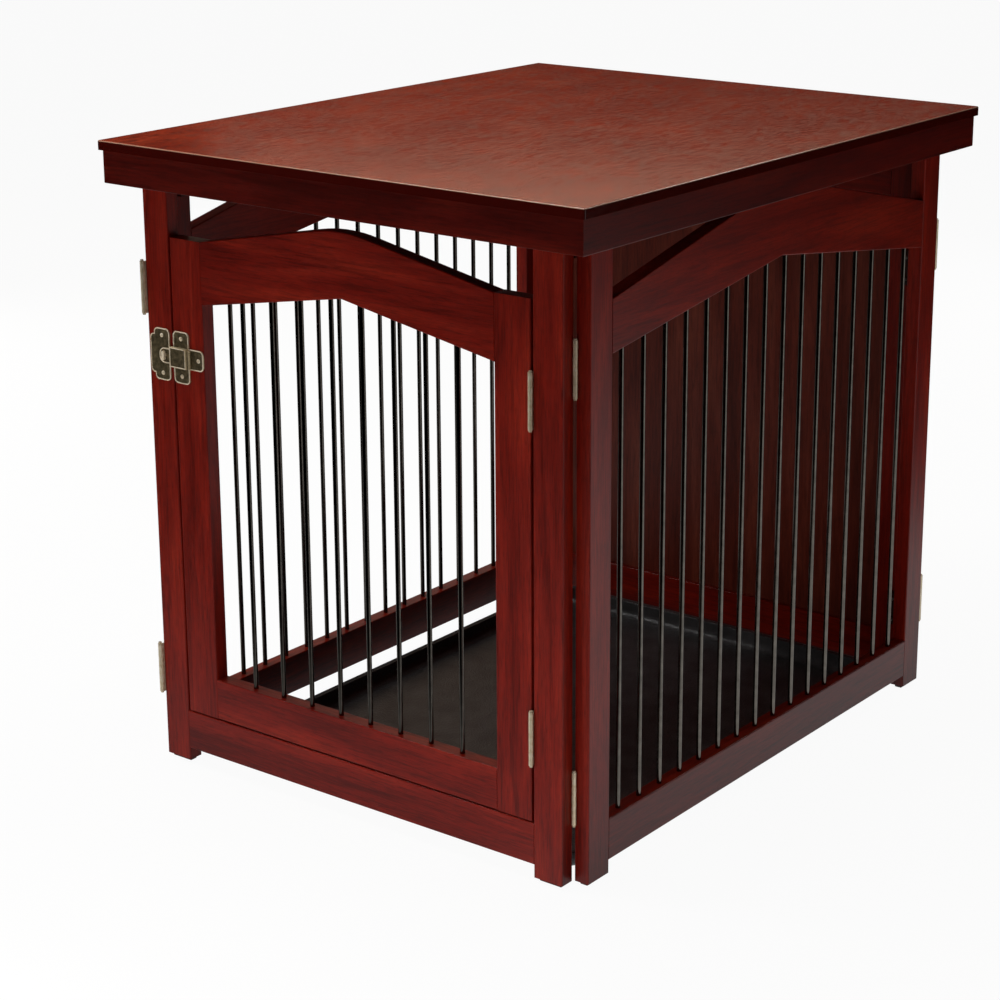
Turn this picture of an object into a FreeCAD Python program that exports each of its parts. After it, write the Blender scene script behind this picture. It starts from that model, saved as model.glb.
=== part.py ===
import FreeCAD, Part
import math
import os
from FreeCAD import Vector

# Overall sizes in millimetres. X runs to the right along the front, Y to the back and Z up.
# The origin is on the floor, at the middle of the plan.
crate_height = 812.8
crate_length = 812.8
opening_width = 558.8

# Panels: four frames of posts and rails stand round the crate
panel_thickness = 20.0
post_width = 41.0
rail_bottom = 21.0
rail_height = 52.5
panel_gap = 0.6
edge_radius = 1.5
tenon_thickness = 8.0
tenon_length = 16.0
tenon_shoulder = 8.0
tenon_fit = 0.1
mortise_end_room = 1.0

# Foot glides: one block under each post
foot_height = 5.0
foot_inset = 5.0
foot_radius = 1.5

# Arched top rail of the side panels, cut flat under the top
side_arch_drop = 63.8
side_arch_end_depth = 63.0
side_arch_low_rise = 50.0
side_arch_top_rise = 80.0
side_crest_room = 4.0

# Steel rods, set in blind holes in the rails
rod_radius = 3.0
rod_insert = 12.0
rod_fit = 0.1
rod_end_room = 0.5
side_rod_count = 16
side_rod_end_gap = 31.0

# Door: a barred frame inside the front panel
door_bottom_gap = 2.0
door_left_gap = 2.5
door_stile_width = 51.0
door_rail_height = 53.0
door_arch_drop = 61.8
door_arch_end_depth = 79.0
door_arch_low_rise = 40.0
door_arch_top_rise = 44.0
door_crest_drop = 8.0
door_rod_count = 8
door_rod_end_gap = 59.0

# Back panel: a board held in grooves
board_thickness = 6.0
groove_depth = 8.0
groove_fit = 0.2
back_top_rail_height = 62.0
back_top_rail_drop = 4.0

# Top: a slab on four mitred apron boards, which lifts off
slab_thickness = 12.0
slab_lip = 4.5
slab_radius = 2.0
apron_height = 41.0
apron_thickness = 18.0
apron_edge = 1.2
top_overhang_ends = 38.0
top_overhang_sides = 34.0
block_drop = 2.0
block_size = 70.0
block_screw_inset = 8.0
pad_size = 24.0
pad_height = 15.0
pad_clearance = 1.5
lift_gap = 0.4

# Butt hinges: two leaves, three knuckles and a loose pin
hinge_length = 66.0
hinge_gap = 3.0
leaf_thickness = 1.2
leaf_edge_gap = 2.8
barrel_radius = 2.8
knuckle_gap = 0.3
corner_gap = 1.7
corner_barrel_gap = 0.5
end_hinge_seat = 3.2
middle_knuckle_share = 0.5
pin_radius = 1.3
pin_fit = 0.05
pin_tip_radius = 2.0
pin_tip_height = 1.6
door_hinge_height = 180.0
door_hinge_drop = 176.8
corner_hinge_height = 110.0
corner_hinge_drop = 137.8
end_hinge_height = 124.0
end_hinge_drop = 129.8

# Countersunk screws in the hinge leaves and strikes
screw_head_radius = 2.6
screw_head_height = 1.0
screw_shank_radius = 1.3
screw_depth = 14.0
screw_fit = 0.1
screw_end_room = 1.0
leaf_screw_share = 0.62
leaf_screw_spread_share = 0.72

# Round-headed screws in the latch, the brackets, the catches and the top
round_head_radius = 2.8
round_head_height = 1.5
round_head_edge = 0.9

# Latch: plates on the post and the door, a hinged flap and a turning staple
latch_drop = 211.3
plate_thickness = 1.6
plate_length = 66.0
plate_width = 26.0
plate_radius = 6.0
plate_rim = 0.6
plate_edge_gap = 3.5
plate_screw_spread = 48.0
post_tab_width = 7.0
post_tab_length = 50.0
door_plate_edge_gap = 1.0
door_tab_width = 24.0
door_tab_height = 26.0
door_tab_screw_inset = 8.0
flap_lift = 0.4
flap_thickness = 2.2
flap_height = 19.0
flap_pad_width = 28.0
flap_pad_height = 26.0
flap_pad_rise = 2.4
flap_pad_edge = 1.2
flap_reach = 49.5
flap_barrel_radius = 2.6
flap_barrel_length = 12.0
flap_lug_length = 5.0
flap_pin_inset = 27.5
staple_reach = 41.5
slot_width = 6.5
slot_height = 14.0
staple_neck_radius = 1.9
staple_neck_fit = 0.05
staple_post_depth = 8.0
staple_post_room = 0.3
staple_head_width = 4.2
staple_head_height = 11.6
staple_head_thickness = 3.2

# Corner brackets that tie the left panel to the front panel
bracket_low_height = 160.0
bracket_drop = 117.8
bracket_leg = 18.0
bracket_thickness = 2.0
bracket_height = 16.0
bracket_screw_share = 0.6

# Magnetic catches in the back right corner, and the strikes that they hold
catch_low_height = 112.0
catch_drop = 160.0
catch_width = 13.0
catch_depth = 11.0
catch_height = 46.0
catch_radius = 2.0
catch_gap = 0.5
catch_screw_spread = 30.0
strike_gap = 1.0

# Floor tray, which lies nearer the right and the back
tray_left_gap = 38.0
tray_right_gap = 10.0
tray_front_gap = 16.0
tray_back_gap = 8.0
tray_height = 26.0
tray_wall = 3.0
tray_rim_width = 9.0
tray_corner_radius = 32.0
tray_floor_radius = 12.0
tray_rim_radius = 1.3

# Cutters run this far past the faces that they open
overrun = 2.0

# Places that follow from the sizes above
front_width = opening_width + 2 * post_width
crate_width = front_width + corner_gap + panel_thickness
right = crate_width / 2
left = -right
back = crate_length / 2
front = -back
rail_top = rail_bottom + rail_height
slab_bottom = crate_height - slab_thickness
apron_bottom = slab_bottom - apron_height
post_top = apron_bottom - block_drop
swing_top = post_top - lift_gap
corner_reach = barrel_radius + corner_barrel_gap
leaf_width = barrel_radius + panel_thickness - leaf_edge_gap
end_leaf_width = panel_thickness - barrel_radius - leaf_edge_gap
latch_height = post_top - latch_drop
door_hinge_heights = (door_hinge_height, post_top - door_hinge_drop)
corner_hinge_heights = (corner_hinge_height, post_top - corner_hinge_drop)
end_hinge_heights = (end_hinge_height, post_top - end_hinge_drop)
bracket_top_height = post_top - bracket_drop
bracket_heights = (bracket_low_height, (bracket_low_height + bracket_top_height) / 2, bracket_top_height)
catch_heights = (catch_low_height, post_top - catch_drop)

across = Vector(1, 0, 0)
depth = Vector(0, 1, 0)
upward = Vector(0, 0, 1)

pieces = {}
drill_holes = {}
panel_wood = {
    "front": ("front_left_post", "front_right_post", "front_bottom_rail"),
    "left": ("left_front_post", "left_back_post", "left_bottom_rail", "left_top_rail"),
    "right": ("right_front_post", "right_back_post", "right_bottom_rail", "right_top_rail"),
    "back": ("back_left_post", "back_right_post", "back_bottom_rail", "back_top_rail"),
    "door": ("door_left_stile", "door_right_stile", "door_bottom_rail", "door_top_rail"),
}


def box(x0, x1, y0, y1, z0, z1):
    """A block between two corners."""
    return Part.makeBox(x1 - x0, y1 - y0, z1 - z0, Vector(x0, y0, z0))


def rod(x, y, z0, z1, radius):
    """An upright cylinder."""
    return Part.makeCylinder(radius, z1 - z0, Vector(x, y, z0), upward)


def eased(shape, direction, radius):
    """Rounds the straight edges that run along a direction."""
    edges = []
    for edge in shape.Edges:
        start, end = edge.Vertexes[0].Point, edge.Vertexes[-1].Point
        if (end - start).normalize().cross(direction).Length < Part.Precision.confusion():
            edges.append(edge)
    return shape.makeFillet(radius, edges)


def mounted(shape, origin, along, into):
    """Moves a fitting from its own X (along) and Y (into the wood) to where it is fixed."""
    third = along.cross(into)
    turn = FreeCAD.Matrix(along.x, into.x, third.x, origin.x,
                          along.y, into.y, third.y, origin.y,
                          along.z, into.z, third.z, origin.z,
                          0, 0, 0, 1)
    placed = shape.copy()
    placed.Placement = FreeCAD.Placement(turn) * shape.Placement
    return placed


def drill(name, cutter):
    """Notes a hole to be cut in a piece, or in a panel's posts and rails, once all are made."""
    for piece in panel_wood.get(name, (name,)):
        drill_holes.setdefault(piece, []).append(cutter)


def add(name, solid):
    """Adds one solid to a piece, or to a group of like pieces."""
    pieces.setdefault(name, []).append(solid)


class Panel:
    """One side of the crate. U runs along it as seen from outside, V goes inwards from its face."""

    def __init__(self, x, y, turn, length, top):
        self.length = length
        self.top = top
        self.place = FreeCAD.Placement(Vector(x, y, 0), FreeCAD.Rotation(upward, turn))

    def stand(self, shape):
        placed = shape.copy()
        placed.Placement = self.place * shape.Placement
        return placed


right_start = front + panel_thickness + corner_gap
left_start = back - panel_thickness - corner_gap
back_start = right - panel_thickness - panel_gap
back_end = left + panel_thickness + corner_gap
left_end = front + panel_thickness + panel_gap
front_panel = Panel(left, front, 0, front_width, post_top)
right_panel = Panel(right, right_start, 90, back - right_start, swing_top)
back_panel = Panel(back_start, back, 180, back_start - back_end, swing_top)
left_panel = Panel(left, left_start, 270, left_start - left_end, post_top)


def upright(u0, u1, z0, z1):
    """A post or stile with its long edges rounded."""
    return eased(box(u0, u1, 0, panel_thickness, z0, z1), upward, edge_radius)


def tongues(u0, u1, z0, z1, fit, end_room):
    """The tongues at both ends of a rail, or the room cut for them. Each is rooted as far in as out."""
    v0 = (panel_thickness - tenon_thickness) / 2
    reach = tenon_length + end_room
    return [box(end - reach, end + reach, v0 - fit, panel_thickness - v0 + fit,
                z0 + tenon_shoulder - fit, z1 - tenon_shoulder + fit) for end in (u0, u1)]


def tenoned(blank, u0, u1, z0, z1):
    """A rail with a tenon added at each end."""
    for tongue in tongues(u0, u1, z0, z1, 0, 0):
        blank = blank.fuse(tongue)
    return blank.removeSplitter()


def mortise(u0, u1, z0, z1):
    return Part.makeCompound(tongues(u0, u1, z0, z1, tenon_fit, mortise_end_room))


def straight_rail(u0, u1, z0, z1):
    """A rail with rounded long edges and a tenon at each end."""
    blank = eased(box(u0, u1, 0, panel_thickness, z0, z1), across, edge_radius)
    return tenoned(blank, u0, u1, z0, z1)


class Arch:
    """A shallow chevron rail between two posts. Its slopes stop at crest_cut, flat or rounded."""

    def __init__(self, u0, u1, end_low, low_rise, end_top, top_rise, crest_cut, rounded):
        self.u0 = u0
        self.u1 = u1
        self.middle = (u0 + u1) / 2
        self.half = (u1 - u0) / 2
        self.end_low = end_low
        self.low_rise = low_rise
        self.end_top = end_top
        self.top_rise = top_rise
        self.crest_cut = crest_cut
        self.rounded = rounded

    def low(self, u):
        """Height of the lower edge."""
        return self.end_low + self.low_rise * (1 - abs(u - self.middle) / self.half)

    def face(self):
        crest_half = self.half * (1 - (self.crest_cut - self.end_top) / self.top_rise)
        slope = math.atan2(self.top_rise, self.half)
        start = Vector(self.middle - crest_half, 0, self.crest_cut)
        end = Vector(self.middle + crest_half, 0, self.crest_cut)
        corners = [end, Vector(self.u1, 0, self.end_top), Vector(self.u1, 0, self.end_low),
                   Vector(self.middle, 0, self.end_low + self.low_rise), Vector(self.u0, 0, self.end_low),
                   Vector(self.u0, 0, self.end_top), start]
        edges = [Part.makeLine(a, b) for a, b in zip(corners, corners[1:])]
        if self.rounded:
            crown = Vector(self.middle, 0, self.crest_cut + crest_half * math.tan(slope / 2))
            edges.append(Part.Arc(start, crown, end).toShape())
        else:
            edges.append(Part.makeLine(start, end))
        return Part.Face(Part.Wire(edges))

    def rail(self):
        """The rail with rounded long edges and its tenons."""
        blank = self.face().extrude(depth * panel_thickness)
        long_edges = []
        for edge in blank.Edges:
            points = [vertex.Point for vertex in edge.Vertexes]
            on_face = abs(points[0].y - points[-1].y) < Part.Precision.confusion()
            at_end = abs(points[0].x - points[-1].x) < Part.Precision.confusion()
            if on_face and not at_end:
                long_edges.append(edge)
        blank = blank.makeFillet(edge_radius, long_edges)
        return tenoned(blank, self.u0, self.u1, self.end_low, self.end_top)


def rod_places(u0, u1, count, end_gap):
    """Rod centres, evenly spaced over an opening."""
    pitch = (u1 - u0 - 2 * end_gap) / (count - 1)
    return [u0 + end_gap + i * pitch for i in range(count)]


def barred_frame(panel, names, sides, heights, arch, rods):
    """Two uprights, a bottom rail, an arched rail and the rods between them, all jointed."""
    u0, u1, width = sides
    foot, rail_low, rail_high, top = heights
    a, b = u0 + width, u1 - width
    bottom = straight_rail(a, b, rail_low, rail_high)
    arched = arch.rail()
    first, last = upright(u0, a, foot, top), upright(b, u1, foot, top)
    for room in (mortise(a, b, rail_low, rail_high), mortise(a, b, arch.end_low, arch.end_top)):
        first = first.cut(room)
        last = last.cut(room)
    middle = panel_thickness / 2
    bars, holes = [], []
    for u in rod_places(a, b, *rods):
        z0, z1 = rail_high - rod_insert, arch.low(u) + rod_insert
        bars.append(rod(u, middle, z0, z1, rod_radius))
        holes.append(rod(u, middle, z0 - rod_end_room, z1 + rod_end_room, rod_radius + rod_fit))
    room = Part.makeCompound(holes)
    for name, solid in zip(names, (first, last, bottom.cut(room), arched.cut(room))):
        add(name, panel.stand(solid))
    for bar in bars:
        add(names[4], panel.stand(bar))


def feet(panel, name):
    """A glide under each post of a panel."""
    for u0 in (0, panel.length - post_width):
        glide = box(u0 + foot_inset, u0 + post_width - foot_inset,
                    foot_inset, panel_thickness - foot_inset, 0, foot_height)
        under = [edge for edge in glide.Edges if edge.BoundBox.ZMax < foot_height / 2]
        add(name, panel.stand(glide.makeFillet(foot_radius, under)))


def side_panel(panel, side, post_names):
    """A barred side panel under the overhang of the top."""
    a, b = post_width, panel.length - post_width
    end_top = post_top - side_arch_drop
    arch = Arch(a, b, end_top - side_arch_end_depth, side_arch_low_rise, end_top, side_arch_top_rise,
                post_top - side_crest_room, False)
    names = post_names + (side + "_bottom_rail", side + "_top_rail", side + "_rods")
    barred_frame(panel, names, (0, panel.length, post_width),
                 (foot_height, rail_bottom, rail_top, panel.top), arch, (side_rod_count, side_rod_end_gap))


# Front panel: two posts and a bottom rail round the door
front_rail_span = (post_width, front_width - post_width)
front_rail = straight_rail(*front_rail_span, rail_bottom, rail_top)
front_room = mortise(*front_rail_span, rail_bottom, rail_top)
front_first = upright(0, post_width, foot_height, post_top)
front_last = upright(front_width - post_width, front_width, foot_height, post_top)
add("front_left_post", front_panel.stand(front_first.cut(front_room)))
add("front_right_post", front_panel.stand(front_last.cut(front_room)))
add("front_bottom_rail", front_panel.stand(front_rail))

# Side panels: the right one swings, the left one is fixed to the front panel
side_panel(left_panel, "left", ("left_back_post", "left_front_post"))
side_panel(right_panel, "right", ("right_front_post", "right_back_post"))
feet(front_panel, "frame_feet")
feet(left_panel, "frame_feet")
feet(right_panel, "right_feet")
feet(back_panel, "back_feet")

# Door, in the front panel's plane
door_u0 = post_width + door_left_gap
door_u1 = front_width - post_width - hinge_gap
door_low = rail_top + door_bottom_gap
door_top = post_top - door_arch_drop
door_arch = Arch(door_u0 + door_stile_width, door_u1 - door_stile_width, door_top - door_arch_end_depth,
                 door_arch_low_rise, door_top, door_arch_top_rise,
                 door_top + door_arch_top_rise - door_crest_drop, True)
barred_frame(front_panel,
             ("door_left_stile", "door_right_stile", "door_bottom_rail", "door_top_rail", "door_rods"),
             (door_u0, door_u1, door_stile_width),
             (door_low, door_low, door_low + door_rail_height, door_top), door_arch,
             (door_rod_count, door_rod_end_gap))

# Back panel: posts, two rails and a board in their grooves
back_inner = (post_width, back_panel.length - post_width)
back_rail_high = post_top - back_top_rail_drop
back_rail_low = back_rail_high - back_top_rail_height
board_face = (panel_thickness - board_thickness) / 2
board_room = groove_depth + groove_fit
board = box(back_inner[0] - groove_depth, back_inner[1] + groove_depth,
            board_face, panel_thickness - board_face, rail_top - groove_depth, back_rail_low + groove_depth)
groove = box(back_inner[0] - board_room, back_inner[1] + board_room, board_face - groove_fit,
             panel_thickness - board_face + groove_fit, rail_top - board_room, back_rail_low + board_room)
back_rooms = (mortise(*back_inner, rail_bottom, rail_top),
              mortise(*back_inner, back_rail_low, back_rail_high), groove)
back_first = upright(0, post_width, foot_height, swing_top)
back_last = upright(back_inner[1], back_panel.length, foot_height, swing_top)
for room in back_rooms:
    back_first = back_first.cut(room)
    back_last = back_last.cut(room)
add("back_right_post", back_panel.stand(back_first))
add("back_left_post", back_panel.stand(back_last))
for name, span in (("back_bottom_rail", (rail_bottom, rail_top)),
                   ("back_top_rail", (back_rail_low, back_rail_high))):
    add(name, back_panel.stand(straight_rail(*back_inner, *span).cut(groove)))
add("back_board", back_panel.stand(board))


# Screws. Each is made along +Y, into the wood
def flush_screw(seat, fit, end_room):
    """A countersunk screw through a leaf on wood at a given seat, or with a fit the hole for it."""
    start = Vector(0, seat - leaf_thickness, 0)
    length = leaf_thickness + screw_depth + end_room
    head = Part.makeCone(screw_head_radius + fit, screw_shank_radius + fit, screw_head_height, start, depth)
    shank = Part.makeCylinder(screw_shank_radius + fit, length, start, depth)
    return head.fuse(shank).removeSplitter()


def round_screw(plate):
    """A round-headed screw whose head sits on a plate and whose shank goes on into the wood."""
    head = Part.makeCylinder(round_head_radius, round_head_height, Vector(0, -plate, 0), -depth)
    rim = [edge for edge in head.Edges if edge.BoundBox.YMax < -plate - round_head_height / 2]
    head = head.makeFillet(round_head_edge, rim)
    shank = Part.makeCylinder(screw_shank_radius, plate + screw_depth, Vector(0, -plate, 0), depth)
    return head.fuse(shank).removeSplitter()


def round_screw_hole(plate):
    return Part.makeCylinder(screw_shank_radius + screw_fit, plate + screw_depth + screw_end_room,
                             Vector(0, -plate, 0), depth)


def fix(screw_name, holed, plate, origin, into):
    """Puts a round-headed screw in place and notes its hole in each piece that it passes."""
    along = into.cross(upward)
    add(screw_name, mounted(round_screw(plate), origin, along, into))
    for name in holed:
        drill(name, mounted(round_screw_hole(plate), origin, along, into))


# Hinges: a leaf, its knuckles and a loose pin
def barrel(span, radius):
    return rod(0, 0, span[0], span[1], radius)


half_hinge = hinge_length / 2
middle_half = half_hinge * middle_knuckle_share
end_knuckles = ((-half_hinge, -middle_half), (middle_half, half_hinge))
middle_knuckle = ((-middle_half + knuckle_gap, middle_half - knuckle_gap),)
whole_barrel = ((-half_hinge, half_hinge),)


class Leaf:
    """A leaf along +X from its pin. The wood is on its +Y side, at a seat from the pin."""

    def __init__(self, seat, width, own, other):
        self.seat = seat
        self.width = width
        self.own = own
        self.other = other

    def screw_places(self):
        return [Vector(self.width * leaf_screw_share, 0, half_hinge * leaf_screw_spread_share * step)
                for step in (-1, 0, 1)]

    def solid(self):
        """The leaf with its own knuckles, cut clear of the other leaf's."""
        leaf = box(0, self.width, self.seat - leaf_thickness, self.seat, -half_hinge, half_hinge)
        for low, high in self.other:
            leaf = leaf.cut(box(-overrun, barrel_radius + 2 * knuckle_gap,
                                self.seat - leaf_thickness - overrun, self.seat + overrun,
                                low - knuckle_gap, high + knuckle_gap))
        for span in self.own:
            leaf = leaf.fuse(barrel(span, barrel_radius))
        leaf = leaf.cut(barrel((-half_hinge - overrun, half_hinge + overrun), pin_radius + pin_fit))
        for place in self.screw_places():
            leaf = leaf.cut(flush_screw(self.seat, screw_fit, 0).translated(place))
        return leaf.removeSplitter()

    def fit(self, names, origin, along, into):
        """Screws the leaf to a panel. Names are the leaf, its screws and the panel."""
        leaf_name, screw_name, wood = names
        add(leaf_name, mounted(self.solid(), origin, along, into))
        for place in self.screw_places():
            screw = flush_screw(self.seat, 0, 0).translated(place)
            hole = flush_screw(self.seat, screw_fit, screw_end_room).translated(place)
            add(screw_name, mounted(screw, origin, along, into))
            drill(wood, mounted(hole, origin, along, into))


def fit_pin(name, origin):
    """A loose pin with a round tip at each end."""
    pin = barrel((-half_hinge - knuckle_gap, half_hinge + knuckle_gap), pin_radius)
    for low in (-half_hinge - knuckle_gap - pin_tip_height, half_hinge + knuckle_gap):
        pin = pin.fuse(barrel((low, low + pin_tip_height), pin_tip_radius))
    add(name, pin.removeSplitter().translated(origin))


# Door hinges, closed in the seam beside the right post
door_seat = hinge_gap / 2
door_axis = Vector(left + door_u1 + door_seat, front - barrel_radius, 0)
post_leaf = Leaf(door_seat, leaf_width, end_knuckles, middle_knuckle)
door_leaf = Leaf(door_seat, leaf_width, middle_knuckle, end_knuckles)
for height in door_hinge_heights:
    spot = door_axis + upward * height
    post_leaf.fit(("door_hinge_post_leaves", "frame_hinge_screws", "front"), spot, depth, across)
    door_leaf.fit(("door_hinge_leaves", "door_hinge_screws", "door"), spot, depth, -across)
    fit_pin("hinge_pins", spot)

# Corner hinges at the front right and the back left. Their barrels stand outside, in the notch
# between the panels' ends, and their leaves pass through the corner gap to the inner faces.
corner_seat = corner_gap - corner_reach
front_axis = Vector(left + front_width + corner_reach, right_start - corner_reach, 0)
back_axis = front_axis * -1
fixed_leaf = Leaf(corner_seat, leaf_width, end_knuckles, middle_knuckle)
swing_leaf = Leaf(corner_seat, leaf_width, middle_knuckle, end_knuckles)
for height in corner_hinge_heights:
    spot = front_axis + upward * height
    fixed_leaf.fit(("corner_hinge_fixed_leaves", "frame_hinge_screws", "front"), spot, -across, -depth)
    swing_leaf.fit(("right_hinge_leaves", "right_panel_screws", "right"), spot, depth, across)
    fit_pin("hinge_pins", spot)
    spot = back_axis + upward * height
    fixed_leaf.fit(("corner_hinge_fixed_leaves", "frame_hinge_screws", "left"), spot, -depth, -across)
    swing_leaf.fit(("back_hinge_leaves", "back_hinge_screws", "back"), spot, across, depth)
    fit_pin("hinge_pins", spot)

# End hinges: single leaves that link these panels to others when they stand as a gate
front_end_axis = Vector(left - end_hinge_seat, front - barrel_radius, 0)
right_end_axis = Vector(right - barrel_radius, back + end_hinge_seat, 0)
end_leaf = Leaf(end_hinge_seat, end_leaf_width, whole_barrel, ())
for height in end_hinge_heights:
    spot = front_end_axis + upward * height
    end_leaf.fit(("front_end_hinges", "frame_hinge_screws", "front"), spot, depth, across)
    fit_pin("hinge_pins", spot)
    spot = right_end_axis + upward * height
    end_leaf.fit(("right_end_hinges", "right_panel_screws", "right"), spot, -across, -depth)
    fit_pin("right_end_pins", spot)


# Latch, built on the front face of the door and its post
def latch_plate(x0, x1, height):
    """A flat plate with rounded corners, about the latch's middle height."""
    low, high = latch_height - height / 2, latch_height + height / 2
    return eased(box(x0, x1, front - plate_thickness, front, low, high), depth, plate_radius)


def rimmed(plate, face_y):
    """Rounds the outer edges of a plate's front face."""
    rim = [edge for edge in plate.Edges if edge.BoundBox.YMax < face_y + plate_rim / 2]
    return plate.makeFillet(plate_rim, rim)


post_plate_end = left + post_width - plate_edge_gap
post_plate_start = post_plate_end - plate_width
door_plate_start = left + door_u0 + door_plate_edge_gap
door_plate_end = door_plate_start + plate_width
post_plate = latch_plate(post_plate_start, post_plate_end, plate_length)
post_tab = latch_plate(post_plate_start - post_tab_width, post_plate_end - plate_radius, post_tab_length)
door_plate = latch_plate(door_plate_start, door_plate_end, plate_length)
door_tab = latch_plate(door_plate_start + plate_radius, door_plate_end + door_tab_width, door_tab_height)

# The flap turns on a pin held in two lugs of the door plate
flap_x = door_plate_start + flap_pin_inset
flap_y = front - plate_thickness - flap_barrel_radius
flap_half = flap_barrel_length / 2
pin_half = flap_half + knuckle_gap + flap_lug_length
door_plate = rimmed(door_plate.fuse(door_tab).removeSplitter(), front - plate_thickness)
for low in (latch_height - pin_half, latch_height + pin_half - flap_lug_length):
    span = (low, low + flap_lug_length)
    lug = rod(flap_x, flap_y, *span, flap_barrel_radius)
    web = box(flap_x - pin_radius, flap_x + pin_radius, flap_y, front - plate_thickness, *span)
    door_plate = door_plate.fuse(lug).fuse(web)
flap_bore = rod(flap_x, flap_y, latch_height - pin_half - overrun, latch_height + pin_half + overrun,
                pin_radius + pin_fit)
add("latch_post_plate", rimmed(post_plate.fuse(post_tab).removeSplitter(), front - plate_thickness))
add("latch_door_plate", door_plate.cut(flap_bore).removeSplitter())
add("latch_pin", rod(flap_x, flap_y, latch_height - pin_half, latch_height + pin_half, pin_radius))

flap_back = front - plate_thickness - flap_lift
flap_front = flap_back - flap_thickness
flap_end = flap_x - flap_reach
pad_start = flap_x - flap_barrel_radius - flap_pad_width
tongue = box(flap_end, flap_x, flap_front, flap_back,
             latch_height - flap_height / 2, latch_height + flap_height / 2)
tongue_ends = [edge for edge in tongue.Edges
               if edge.BoundBox.XMax < pad_start and edge.BoundBox.YLength > flap_thickness / 2]
tongue = rimmed(tongue.makeFillet(flap_height / 2 - edge_radius, tongue_ends), flap_front)
pad = box(pad_start, pad_start + flap_pad_width, flap_front - flap_pad_rise, flap_back,
          latch_height - flap_pad_height / 2, latch_height + flap_pad_height / 2)
pad_edges = [edge for edge in pad.Edges if edge.BoundBox.YMin < flap_front - flap_pad_edge]
pad = pad.makeFillet(flap_pad_edge, pad_edges)
lug_room = rod(flap_x, flap_y, latch_height - flap_pad_height, latch_height + flap_pad_height,
               flap_barrel_radius + knuckle_gap)
neck_span = (latch_height - flap_half, latch_height + flap_half)
neck = box(flap_x - flap_pad_width, flap_x, flap_front, flap_back, *neck_span)
flap = tongue.fuse(pad).cut(lug_room).fuse(neck).fuse(rod(flap_x, flap_y, *neck_span, flap_barrel_radius))
staple_x = flap_x - staple_reach
slot = box(staple_x - slot_width / 2, staple_x + slot_width / 2, flap_front - overrun, flap_back + overrun,
           latch_height - slot_height / 2, latch_height + slot_height / 2)
add("latch_flap", flap.cut(flap_bore).cut(slot).removeSplitter())

# The turning staple passes through the slot and locks across it when turned
head_back = flap_front - flap_lift
neck_end = front + staple_post_depth
staple_head = box(staple_x - staple_head_width / 2, staple_x + staple_head_width / 2,
                  head_back - staple_head_thickness, head_back,
                  latch_height - staple_head_height / 2, latch_height + staple_head_height / 2)
staple_head = eased(staple_head, depth, staple_head_width / 2 - pin_fit)
staple_start = Vector(staple_x, head_back - staple_head_thickness / 2, latch_height)
staple_neck = Part.makeCylinder(staple_neck_radius, neck_end - staple_start.y, staple_start, depth)
plate_start = Vector(staple_x, front - plate_thickness - overrun, latch_height)
plate_bore = Part.makeCylinder(staple_neck_radius + staple_neck_fit, plate_thickness + 2 * overrun,
                               plate_start, depth)
post_bore = Part.makeCylinder(staple_neck_radius + staple_post_room,
                              staple_post_depth + screw_end_room + overrun,
                              Vector(staple_x, front - overrun, latch_height), depth)
add("latch_staple", staple_head.fuse(staple_neck).removeSplitter())
drill("latch_post_plate", plate_bore)
drill("front", post_bore)
post_screw_x = (post_plate_start + post_plate_end) / 2
door_screw_x = (door_plate_start + door_plate_end) / 2
for side in (-1, 1):
    rise = upward * (latch_height + side * plate_screw_spread / 2)
    fix("latch_post_screws", ("latch_post_plate", "front"), plate_thickness,
        Vector(post_screw_x, front, 0) + rise, depth)
    fix("latch_door_screws", ("latch_door_plate", "door"), plate_thickness,
        Vector(door_screw_x, front, 0) + rise, depth)
fix("latch_door_screws", ("latch_door_plate", "door"), plate_thickness,
    Vector(door_plate_end + door_tab_width - door_tab_screw_inset, front, latch_height), depth)

# Angle brackets in the front left corner
inner_x = left + panel_thickness
inner_y = front + panel_thickness
for height in bracket_heights:
    low, high = height - bracket_height / 2, height + bracket_height / 2
    leg = box(inner_x, inner_x + bracket_leg, inner_y, inner_y + bracket_thickness, low, high)
    arm = box(inner_x, inner_x + bracket_thickness, inner_y, inner_y + bracket_leg, low, high)
    add("corner_brackets", leg.fuse(arm).removeSplitter())
    reach = bracket_leg * bracket_screw_share
    fix("corner_bracket_screws", ("corner_brackets", "front"), bracket_thickness,
        Vector(inner_x + reach, inner_y, height), -depth)
    fix("corner_bracket_screws", ("corner_brackets", "left"), bracket_thickness,
        Vector(inner_x, inner_y + reach, height), -across)

# Magnetic catches on the back panel and strikes on the right panel
strike_x = right - panel_thickness
catch_y = back - panel_thickness
catch_end = strike_x - leaf_thickness - catch_gap
for height in catch_heights:
    low, high = height - catch_height / 2, height + catch_height / 2
    body = eased(box(catch_end - catch_width, catch_end, catch_y - catch_depth, catch_y, low, high),
                 upward, catch_radius)
    add("corner_catches", body)
    strike_end = catch_y - strike_gap
    plate = box(strike_x - leaf_thickness, strike_x, strike_end - catch_depth, strike_end, low, high)
    add("corner_strikes", plate)
    for side in (-1, 1):
        rise = upward * (height + side * catch_screw_spread / 2)
        fix("corner_catch_screws", ("corner_catches", "back"), catch_depth,
            Vector(catch_end - catch_width / 2, catch_y, 0) + rise, depth)
        spot = Vector(strike_x, strike_end - catch_depth / 2, 0) + rise
        add("right_panel_screws", mounted(flush_screw(0, 0, 0), spot, -depth, across))
        for name in ("corner_strikes", "right"):
            drill(name, mounted(flush_screw(0, screw_fit, screw_end_room), spot, -depth, across))

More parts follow.
